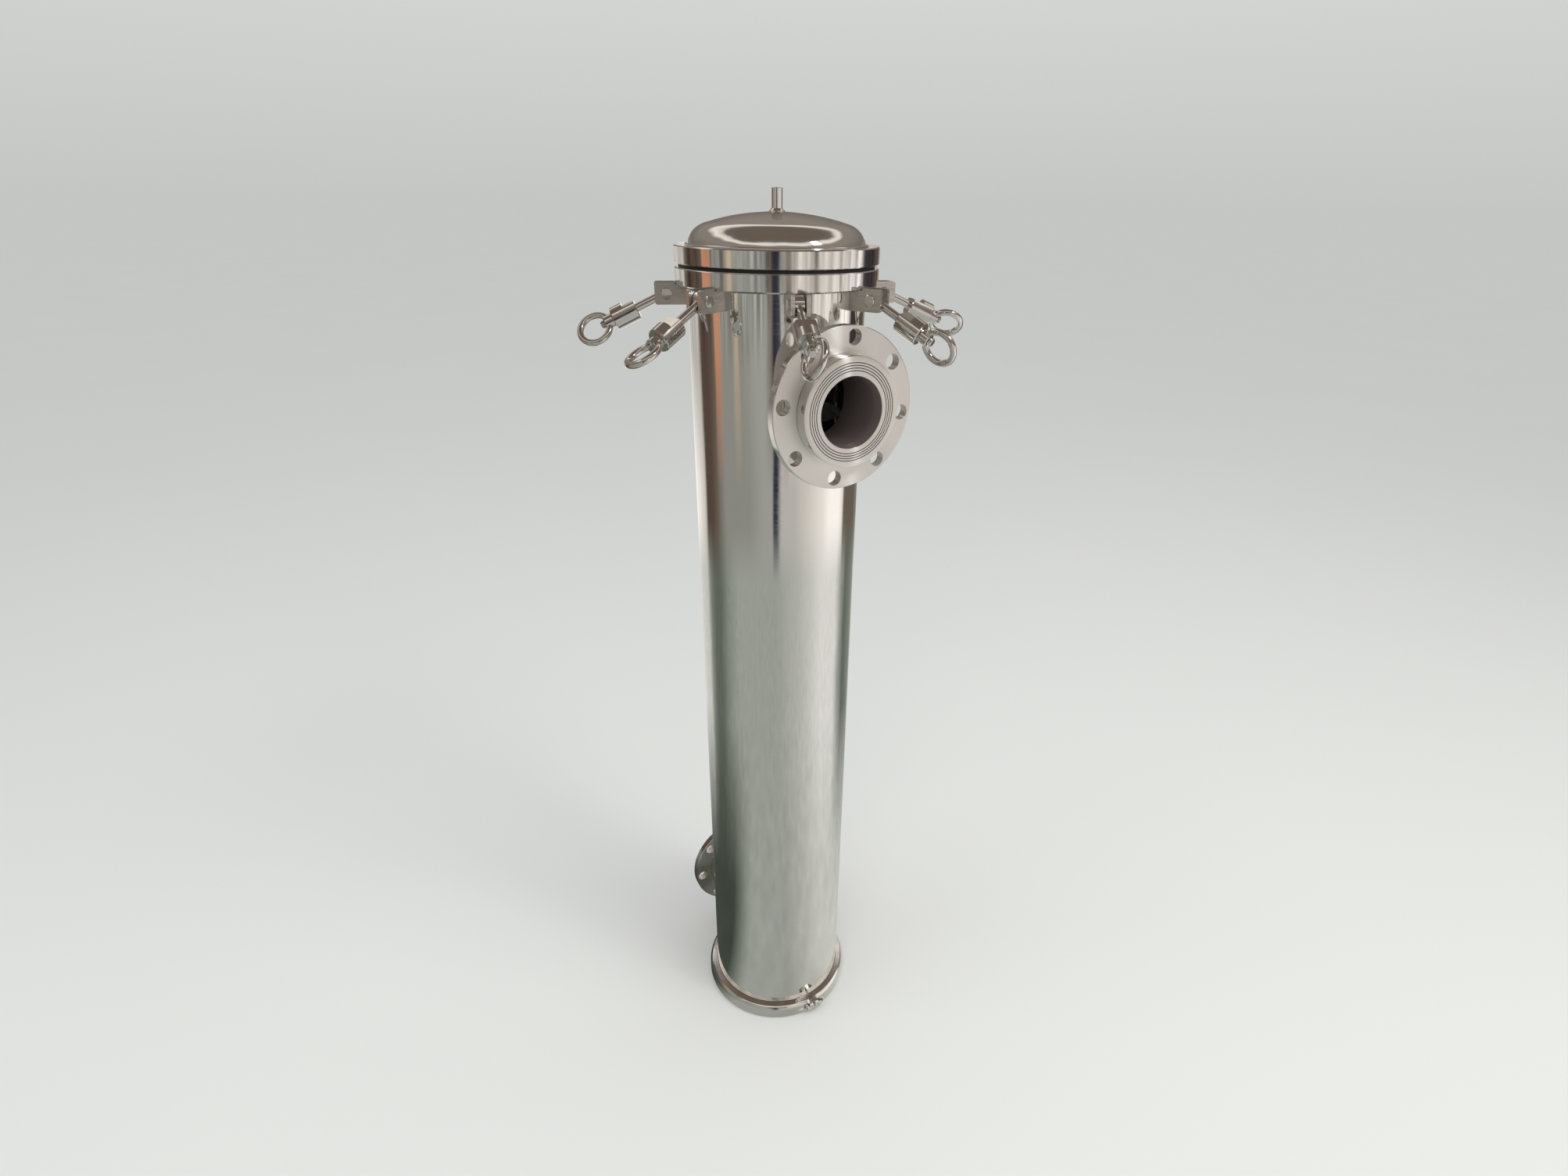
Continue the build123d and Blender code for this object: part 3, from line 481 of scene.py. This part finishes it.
# %% Perforated basket
BASKET_LOW, BASKET_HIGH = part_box("restrainer_basket")
BASKET_RIM_R = BASKET_HIGH.x
BASKET_TOP = BASKET_HIGH.z
BASKET_FLOOR = BASKET_LOW.z
SHEET = 0.0015
RIM_THICK = 0.003
RIM_EDGE = 0.0005
BASKET_R = 0.092
BASKET_CORNER = 0.012
HOLES_ROUND, HOLE_ROWS = 44, 60
SHEET_STEEL = finish_of("perforated_sheet_steel", (0.68, 0.67, 0.65), 0.28)
rolled = grain(SHEET_STEEL, 40.0, 3.0, (1, 1, 0.2))
feed(SHEET_STEEL, "Roughness", remap(SHEET_STEEL, rolled, 0.22, 0.38))
bump(SHEET_STEEL, rolled, 0.1, 0.0003)


def perforated_sheet(columns, rows, corner, hole):
    """A unit square of sheet with a hole in every cell; corner and hole are shares of a cell."""
    sheet = bmesh.new()
    bmesh.ops.create_grid(sheet, x_segments=columns, y_segments=rows, size=0.5)
    bmesh.ops.scale(sheet, vec=(columns, rows, 1), verts=sheet.verts)
    inner = [v for v in sheet.verts if not v.is_boundary]
    bmesh.ops.bevel(sheet, geom=inner, offset=corner, affect="VERTICES", segments=1, profile=0.5, material=-1)
    cells = [f for f in sheet.faces if f.calc_area() > 0.5]
    bmesh.ops.inset_individual(sheet, faces=cells, thickness=hole, use_even_offset=True)
    bmesh.ops.delete(sheet, geom=cells, context="FACES")
    bmesh.ops.scale(sheet, vec=(1 / columns, 1 / rows, 1), verts=sheet.verts)
    return sheet


wall = perforated_sheet(HOLES_ROUND, HOLE_ROWS, 0.29, 0.19)
wall_low = BASKET_FLOOR + BASKET_CORNER
wall_high = BASKET_TOP - BASKET_CORNER
for vert in wall.verts:
    turn = (vert.co.x + 0.5) * math.tau
    vert.co = Vector((BASKET_R * math.cos(turn), BASKET_R * math.sin(turn),
                      wall_low + (vert.co.y + 0.5) * (wall_high - wall_low)))
bmesh.ops.remove_doubles(wall, verts=wall.verts, dist=1e-5)
bmesh.ops.recalc_face_normals(wall, faces=wall.faces)
bmesh.ops.solidify(wall, geom=wall.faces[:], thickness=SHEET)
basket_wall = make("basket_perforated_wall", wall, SHEET_STEEL, "basket", smooth=False)
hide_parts("restrainer_basket")

inner_r = BASKET_R - SHEET
rim_low = BASKET_TOP - RIM_THICK
corner_at = [math.pi / 2 * i / 6 for i in range(7)]
floor_line = [(0, 0, BASKET_FLOOR)]
floor_line += [(BASKET_R - BASKET_CORNER + BASKET_CORNER * math.sin(a), 0,
                BASKET_FLOOR + BASKET_CORNER - BASKET_CORNER * math.cos(a)) for a in corner_at]
floor_line += [(inner_r, 0, BASKET_FLOOR + BASKET_CORNER)]
inside = BASKET_CORNER - SHEET
floor_line += [(BASKET_R - BASKET_CORNER + inside * math.sin(a), 0,
                BASKET_FLOOR + BASKET_CORNER - inside * math.cos(a)) for a in reversed(corner_at[:-1])]
floor_line += [(0, 0, BASKET_FLOOR + SHEET)]
make("basket_floor", spun(floor_line, 96, closed=False), SHEET_STEEL, "basket")
rim_line = [(inner_r, 0, wall_high), (BASKET_R, 0, wall_high), (BASKET_R, 0, rim_low),
            (BASKET_RIM_R - RIM_EDGE, 0, rim_low), (BASKET_RIM_R, 0, rim_low + RIM_EDGE),
            (BASKET_RIM_R, 0, BASKET_TOP - RIM_EDGE), (BASKET_RIM_R - RIM_EDGE, 0, BASKET_TOP),
            (inner_r, 0, BASKET_TOP)]
make("basket_rim", spun(rim_line, 128), SHEET_STEEL, "basket", smooth=False)

# %% [markdown]
# The bag is needle felt, sewn into a tube with a rounded end. Felt has no weave: it is a mat of fibres with a
# slightly singed surface. The cloth hangs from its collar ring and lies against the basket, so its wrinkles
# are shallow and point inwards.

# %% Felt bag
BAG_LOW, BAG_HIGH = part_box("filter_bag")
BAG_R = BAG_HIGH.x
FELT_THICK = 0.0022
FELT = finish_of("needle_felt", (0.80, 0.78, 0.71), 0.95, 0.0, Sheen_Weight=0.4, Sheen_Roughness=0.6)
fibres = grain(FELT, 900.0, 6.0)
mat = grain(FELT, 60.0, 5.0)
feed(FELT, "Base Color", tint(FELT, mat, (0.84, 0.82, 0.76), (0.70, 0.68, 0.60)))
bump(FELT, fibres, 0.6, 0.0004)
BAG_CORNER = 0.026
bend = [math.pi / 2 * i / 8 for i in range(9)]
bag_line = [(0, 0, BAG_LOW.z)]
bag_line += [(BAG_R - BAG_CORNER + BAG_CORNER * math.sin(a), 0,
              BAG_LOW.z + BAG_CORNER - BAG_CORNER * math.cos(a)) for a in bend]
bag_rows = 90
CREASE, CREASE_REST, FREE_BELOW_RING = 0.0022, 0.0012, 0.06
bag_foot, bag_top = BAG_LOW.z + BAG_CORNER, BAG_HIGH.z
bag_line += [(BAG_R, 0, bag_foot + (bag_top - bag_foot) * i / bag_rows) for i in range(1, bag_rows + 1)]
bag = spun(bag_line, 120, closed=False)
for vert in bag.verts:
    arm = Vector((vert.co.x, vert.co.y, 0))
    if arm.length < 1e-6:
        continue
    free = min(1.0, (bag_top - vert.co.z) / FREE_BELOW_RING)
    spot = Vector((arm.normalized().x * 2.2, arm.normalized().y * 2.2, vert.co.z * 5.0))
    fold = CREASE * (noise.noise(spot) + 0.5 * noise.noise(spot * 2.7)) - CREASE_REST
    vert.co -= arm.normalized() * max(0.0, -min(0.0, fold)) * free
bmesh.ops.solidify(bag, geom=bag.faces[:], thickness=FELT_THICK)
felt_bag = make("felt_bag", bag, FELT, "bag")
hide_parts("filter_bag")

# %% [markdown]
# The camera stands a little above the lid and close to it, with a wide lens, and looks down along the body. So
# the lid looks large and the foot small. A slight roll and shift keep the body where it belongs in the frame.

# %% Camera
LENS = 18.573
SHIFT_X, SHIFT_Y = -0.0111, 0.0109
CAMERA_AT = Vector((-0.5026, -0.9412, 1.2822))
HEADING = Vector((0.5007, 0.8655, 0)).normalized()
PITCH, ROLL = math.radians(26.62), math.radians(0.88)
forward = HEADING * math.cos(PITCH) - Vector((0, 0, 1)) * math.sin(PITCH)
level = forward.cross(Vector((0, 0, 1))).normalized()
upward = level.cross(forward)
right = level * math.cos(ROLL) + upward * math.sin(ROLL)
top = upward * math.cos(ROLL) - level * math.sin(ROLL)
camera_data = bpy.data.cameras.new("camera")
camera_data.sensor_width = 36.0
camera_data.lens = LENS
camera_data.shift_x, camera_data.shift_y = SHIFT_X, SHIFT_Y
camera = bpy.data.objects.new("camera", camera_data)
camera.matrix_world = Matrix.Translation(CAMERA_AT) @ Matrix((right, top, -forward)).transposed().to_4x4()
bpy.context.scene.collection.objects.link(camera)
bpy.context.scene.camera = camera
print("camera", [round(v, 3) for v in CAMERA_AT], "lens", LENS)

# %% [markdown]
# The floor is plain and pale. Steel is a mirror, so it needs a room to show: a bright window wall on the right,
# a duller left side with a few darker things, and a brown ceiling. The room is a drum round the object whose
# colour changes with the bearing. Only reflections show it: the camera looks through it.

# %% Helpers for the room
def stage_piece(name, shape, material):
    mesh = bpy.data.meshes.new(name)
    shape.to_mesh(mesh)
    shape.free()
    mesh.materials.append(material)
    piece = bpy.data.objects.new(name, mesh)
    bpy.context.scene.collection.objects.link(piece)
    return piece


TOWARDS_CAMERA = math.atan2(-HEADING.y, -HEADING.x)
STEEL_SHARE = 0.79


def tone(colour):
    """The brightness that polished steel has to see, for it to look like this screen colour."""
    return [((c / 255 + 0.055) / 1.055) ** 2.4 / STEEL_SHARE if c > 10 else c / 3295 for c in colour]


def around_ramp(material, stops, wobble):
    """A colour ramp by bearing: degrees to the right of the direction of the camera, from -180 to 180."""
    turned = add(material, "VectorRotate", [("Vector", place(material)), ("Angle", -TOWARDS_CAMERA)],
                 rotation_type="Z_AXIS").outputs[0]
    parts = add(material, "SeparateXYZ", [("Vector", turned)])
    bearing = add(material, "Math", [(0, parts.outputs["Y"]), (1, parts.outputs["X"])], operation="ARCTAN2")
    share = remap(material, bearing.outputs[0], 0.0, 1.0, -math.pi, math.pi)
    shake = remap(material, grain(material, 2.5, 3.0), -wobble, wobble)
    spot = add(material, "Math", [(0, share), (1, shake)], operation="ADD").outputs[0]
    ramp = add(material, "ValToRGB", [("Fac", spot)])
    elements = ramp.color_ramp.elements
    while len(elements) < len(stops):
        elements.new(0.5)
    for element, (degrees, colour) in zip(elements, stops):
        element.position = degrees / 360 + 0.5
        element.color = (*tone(colour), 1)
    return ramp.outputs["Color"]


# %% [markdown]
# The things in the room are painted from one small palette, in screen values from 0 to 255. Each list walks
# round the object: the bearing in degrees to the right of the camera, and what stands there.

# %% What stands round the object
WINDOW, CURTAIN, PLASTER = (245, 240, 235), (225, 218, 212), (200, 194, 188)
PALE_WALL, GREY_WALL, SHADED_WALL = (175, 172, 167), (150, 150, 145), (133, 133, 127)
CABINET, DOOR, POST = (98, 88, 78), (80, 66, 58), (48, 48, 60)
BRICK, BOARD, OPENING = (174, 126, 100), (164, 151, 134), (54, 48, 50)
ROOM_LOW = [(-180, WINDOW), (-135, CURTAIN), (-120, PLASTER), (-115, PALE_WALL), (-112, DOOR), (-98, DOOR),
            (-87, CABINET), (-72, SHADED_WALL), (-35, SHADED_WALL), (-16, GREY_WALL), (-4, GREY_WALL),
            (-2, POST), (3, POST), (5, PALE_WALL), (25, PALE_WALL), (45, PLASTER), (68, CURTAIN),
            (80, WINDOW), (98, WINDOW), (106, CURTAIN), (110, CABINET), (140, CABINET), (170, SHADED_WALL),
            (180, WINDOW)]
ROOM_HIGH = [(-180, CURTAIN), (-135, PALE_WALL), (-120, PALE_WALL), (-112, DOOR), (-98, DOOR), (-86, CABINET),
             (-83, BRICK), (-75, BRICK), (-71, SHADED_WALL), (-56, SHADED_WALL), (-52, BOARD), (-47, BOARD),
             (-44, SHADED_WALL), (-24, GREY_WALL), (-12, GREY_WALL), (-4, CABINET), (-2, POST), (4, POST),
             (6, PALE_WALL), (15, CABINET), (19, PLASTER), (40, PLASTER), (44, CABINET), (48, PLASTER),
             (68, CURTAIN), (80, PLASTER), (95, WINDOW), (105, CURTAIN), (109, OPENING), (128, OPENING),
             (150, CABINET), (180, CURTAIN)]
# The two floor lists are painted light and shade on the floor as the steel sees it: brighter towards the windows
# and further out, darker on the left.
DARK_FLOOR, DULL_FLOOR, GREEN_FLOOR = (60, 66, 59), (92, 98, 89), (123, 128, 119)
GREY_FLOOR, PALE_FLOOR = (149, 152, 146), (170, 171, 165)
BRIGHT_FLOOR, SUNLIT_FLOOR = (187, 188, 182), (210, 208, 205)
FLOOR_LIGHT_NEAR = [(-180, GREEN_FLOOR), (-130, DARK_FLOOR), (-68, DARK_FLOOR), (-59, DULL_FLOOR), (-49, GREEN_FLOOR),
              (-37, GREY_FLOOR), (15, GREY_FLOOR), (45, PALE_FLOOR), (70, BRIGHT_FLOOR), (105, BRIGHT_FLOOR),
              (150, PALE_FLOOR), (180, GREEN_FLOOR)]
FLOOR_LIGHT_FAR = [(-180, SUNLIT_FLOOR), (-120, BRIGHT_FLOOR), (-112, GREEN_FLOOR), (-100, DULL_FLOOR),
             (-88, DULL_FLOOR), (-75, GREEN_FLOOR), (-55, GREY_FLOOR), (0, GREY_FLOOR), (32, PALE_FLOOR),
             (50, BRIGHT_FLOOR), (70, SUNLIT_FLOOR), (97, SUNLIT_FLOOR), (109, GREY_FLOOR), (122, DULL_FLOOR),
             (150, GREEN_FLOOR), (180, SUNLIT_FLOOR)]
print("colour stops:", len(ROOM_LOW), len(ROOM_HIGH), len(FLOOR_LIGHT_NEAR), len(FLOOR_LIGHT_FAR))

# %% Floor
FLOOR_HALF, FLOOR_GAP, FLOOR_DRIFT, WALL_DRIFT = 30.0, 0.0005, 0.012, 0.006
FLOOR = finish_of("pale_floor", (0.70, 0.71, 0.69), 0.7, 0.0, Specular_IOR_Level=0.0)
# Steel sees the floor as a glow and not as a lit surface: black, with painted light and shade by bearing as its
# emission, in cloudy patches.
mirrored = add(FLOOR, "LightPath").outputs["Is Glossy Ray"]
soft = grain(FLOOR, 1.2, 3.0)
plain = tint(FLOOR, soft, (0.69, 0.70, 0.68), (0.71, 0.72, 0.70))
feed(FLOOR, "Base Color", mixed_colour(FLOOR, mirrored, plain, (0.0, 0.0, 0.0)))
outward = remap(FLOOR, radius_about(FLOOR, 2), 0.0, 1.0, 0.35, 0.95)
feed(FLOOR, "Emission Color", mixed_colour(FLOOR, outward, around_ramp(FLOOR, FLOOR_LIGHT_NEAR, FLOOR_DRIFT),
                                           around_ramp(FLOOR, FLOOR_LIGHT_FAR, FLOOR_DRIFT)))
clouds = remap(FLOOR, grain(FLOOR, 14.0, 6.0), 0.91, 1.09, 0.3, 0.7)
shown = add(FLOOR, "Math", [(0, mirrored), (1, clouds)], operation="MULTIPLY").outputs[0]
feed(FLOOR, "Emission Strength", shown)
ground = bmesh.new()
bmesh.ops.create_grid(ground, x_segments=1, y_segments=1, size=FLOOR_HALF)
bmesh.ops.translate(ground, vec=(0, 0, cad_low[2] - FLOOR_GAP), verts=ground.verts)
stage_piece("floor", ground, FLOOR)

# %% Drum round the object
DRUM_RADIUS, DRUM_TOP = 1.9, 1.36
ROOM = bpy.data.materials.new("room_wall")
ROOM.use_nodes = True
ROOM.node_tree.nodes.remove(ROOM.node_tree.nodes["Principled BSDF"])
up_wall = add(ROOM, "SeparateXYZ", [("Vector", place(ROOM))]).outputs["Z"]
# The drum's foot carries the same painted light and shade of the far floor.
skirting = mixed_colour(ROOM, remap(ROOM, up_wall, 0.0, 1.0, 0.0, 0.22),
                        around_ramp(ROOM, FLOOR_LIGHT_FAR, FLOOR_DRIFT), around_ramp(ROOM, ROOM_LOW, WALL_DRIFT))
wall_colour = mixed_colour(ROOM, remap(ROOM, up_wall, 0.0, 1.0, 0.35, 0.8), skirting,
                           around_ramp(ROOM, ROOM_HIGH, WALL_DRIFT))
things = remap(ROOM, grain(ROOM, 7.0, 3.0, (1.0, 1.0, 0.3)), 0.45, 1.35, 0.35, 0.62)
clutter = mixed(ROOM, remap(ROOM, up_wall, 0.0, 1.0, 0.75, 1.05), 1.0, things)
glow = add(ROOM, "Emission", [("Color", wall_colour), ("Strength", clutter)])
ROOM.node_tree.links.new(glow.outputs[0], ROOM.node_tree.nodes["Material Output"].inputs[0])
drum = bmesh.new()
bmesh.ops.create_circle(drum, cap_ends=False, segments=96, radius=DRUM_RADIUS)
wall_top = bmesh.ops.extrude_edge_only(drum, edges=drum.edges)["geom"]
rising = [g for g in wall_top if isinstance(g, bmesh.types.BMVert)]
bmesh.ops.translate(drum, vec=(0, 0, DRUM_TOP), verts=rising)
room = stage_piece("room_drum", drum, ROOM)
for ray in ("camera", "diffuse", "shadow", "transmission", "volume_scatter"):
    setattr(room, f"visible_{ray}", False)
print("drum", DRUM_RADIUS, "m radius")

# %% [markdown]
# Lamps give the plain soft light and the soft shadow on the floor. A lamp seen in a mirror would be a hard
# white patch, so the steel sees only the small key lamp, which gives the turned faces their fan of light.
# Otherwise it sees a brown ceiling with one band of roof lights.

# %% Lamps
def lamp(name, bearing, radius, height, size, power, colour, aim=(0, 0, 0.6), mirrored=False):
    light = bpy.data.lights.new(name, "AREA")
    light.shape = "RECTANGLE"
    light.size, light.size_y = size
    light.energy = power
    light.color = colour
    angle = TOWARDS_CAMERA + math.radians(bearing)
    at = Vector((radius * math.cos(angle), radius * math.sin(angle), height))
    holder = bpy.data.objects.new(name, light)
    turn = (Vector(aim) - at).to_track_quat("-Z", "Y").to_matrix().to_4x4()
    holder.matrix_world = Matrix.Translation(at) @ turn
    holder.visible_glossy = mirrored
    bpy.context.scene.collection.objects.link(holder)


lamp("lamp_right", 62, 2.6, 2.9, (2.0, 1.5), 36.0, (1.0, 0.985, 0.96))
lamp("lamp_left", -70, 2.6, 2.9, (2.0, 1.5), 14.0, (0.97, 0.985, 1.0))
lamp("lamp_front", -12, 2.3, 1.9, (0.9, 0.9), 9.0, (1.0, 0.99, 0.98), (0, -0.15, 1.05))
lamp("lamp_key", 60, 1.85, 2.85, (0.35, 0.45), 8.0, (0.95, 0.97, 1.0), (0, -0.15, 1.1), True)

# %% Ceiling and far wall
world = bpy.data.worlds.new("studio")
bpy.context.scene.world = world
world.use_nodes = True
nodes, links = world.node_tree.nodes, world.node_tree.links
paths = nodes.new("ShaderNodeLightPath")
direction = nodes.new("ShaderNodeTexCoord")
split = nodes.new("ShaderNodeSeparateXYZ")
links.new(direction.outputs["Generated"], split.inputs[0])
patchy = nodes.new("ShaderNodeTexNoise")
patchy.inputs["Scale"].default_value = 1.4
links.new(direction.outputs["Generated"], patchy.inputs["Vector"])
nudge = nodes.new("ShaderNodeMath")
nudge.operation = "MULTIPLY_ADD"
links.new(patchy.outputs[0], nudge.inputs[0])
nudge.inputs[1].default_value = 0.24
links.new(split.outputs["Z"], nudge.inputs[2])


def sky_ramp(stops, height):
    ramp = nodes.new("ShaderNodeValToRGB")
    while len(ramp.color_ramp.elements) < len(stops):
        ramp.color_ramp.elements.new(0.5)
    for element, (position, colour) in zip(ramp.color_ramp.elements, stops):
        element.position = position
        element.color = (*colour, 1)
    links.new(height, ramp.inputs["Fac"])
    return ramp.outputs["Color"]


def chosen(ray, first, second):
    mix = nodes.new("ShaderNodeMix")
    mix.data_type = "RGBA"
    links.new(paths.outputs[ray], mix.inputs["Factor"])
    links.new(first, mix.inputs["A"])
    links.new(second, mix.inputs["B"])
    return mix.outputs["Result"]


CEILING_PAINT, ROOF_LIGHT, ROOF_SHADE = (128, 120, 112), (228, 220, 210), (104, 98, 94)
CEILING = [(share, tone(paint)) for share, paint in (
    (0.0, CURTAIN), (0.13, CURTAIN), (0.20, CEILING_PAINT), (0.33, ROOF_SHADE), (0.57, CEILING_PAINT),
    (0.70, CEILING_PAINT), (0.77, ROOF_LIGHT), (0.83, PLASTER), (0.88, ROOF_SHADE), (0.97, CABINET),
    (1.0, CABINET))]
BACKDROP = [(0.0, (0.56, 0.568, 0.552)), (0.30, (0.72, 0.73, 0.715))]
LIGHT = [(0.0, (0.80, 0.80, 0.79)), (1.0, (0.80, 0.80, 0.80))]
plain_air = chosen("Is Camera Ray", sky_ramp(LIGHT, split.outputs["Z"]), sky_ramp(BACKDROP, split.outputs["Z"]))
links.new(chosen("Is Glossy Ray", plain_air, sky_ramp(CEILING, nudge.outputs[0])),
          nodes["Background"].inputs["Color"])
bpy.context.scene.view_settings.view_transform = "Standard"
print("roof light band and backdrop set")
